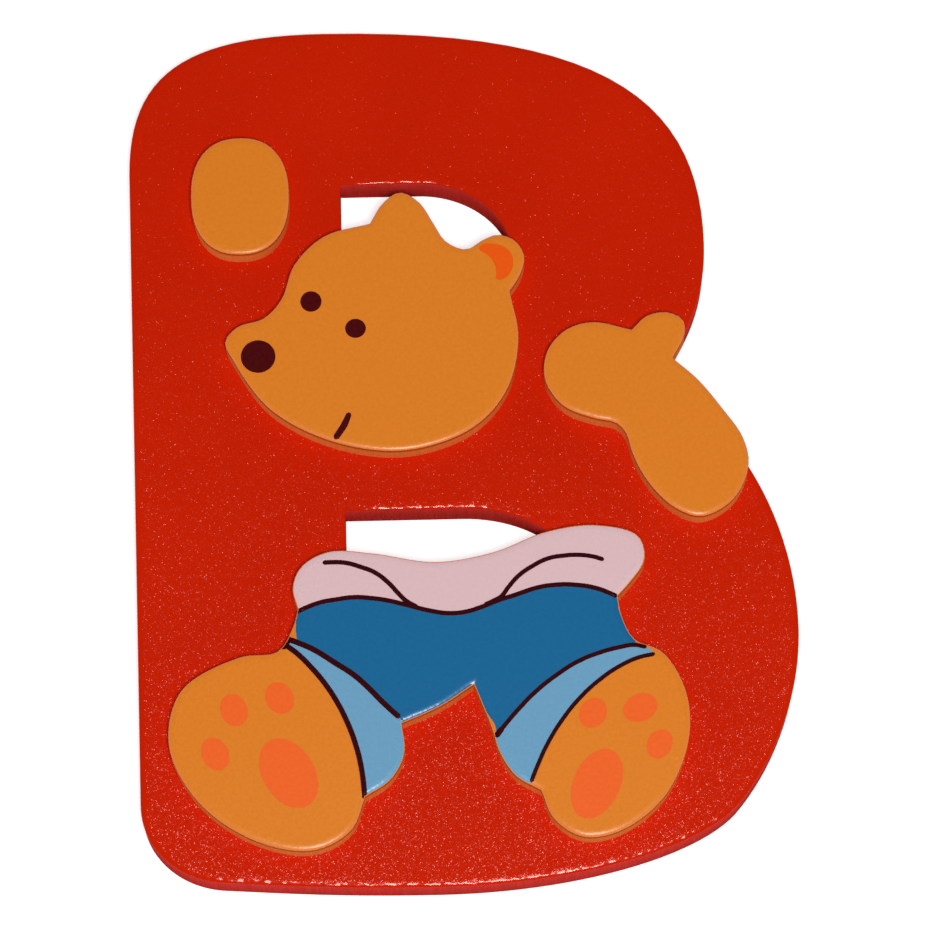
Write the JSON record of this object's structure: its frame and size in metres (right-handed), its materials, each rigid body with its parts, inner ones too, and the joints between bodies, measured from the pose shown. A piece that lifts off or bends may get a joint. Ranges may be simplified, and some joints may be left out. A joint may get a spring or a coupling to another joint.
{
  "type": "wooden letter",
  "caption": "Flat wooden letter B with rounded edges and a glued-on teddy bear in thin cut-outs: head, oval paw, arm, and trousers with feet. For a door, a wall or play.",
  "frame": {"origin": "middle of the letter's flat back face", "axes": "+Z out of the front, +Y to the top of the letter, +X to its right as it is read"},
  "size_m": [0.0676, 0.0904, 0.008],
  "materials": {
    "red_lacquer": "gloss red lacquer on sawn board",
    "bear_paint": "satin honey-orange paint on thin board, with the bear's colours printed over it",
    "shirt_paint": "satin off-white paint printed on the lower body",
    "trouser_paint": "satin blue paint printed on the lower body",
    "turn_up_paint": "satin light blue paint printed on the lower body",
    "pad_paint": "satin coral paint printed on the feet and in the ear",
    "outline_paint": "satin dark brown paint printed as eyes, nose, mouth and outlines"
  },
  "bodies": {
    "root": {"letter_board": "red_lacquer", "bear_head": "bear_paint", "bear_left_paw": "bear_paint", "bear_right_arm": "bear_paint", "bear_lower_body": "bear_paint"}
  },
  "joints": []
}
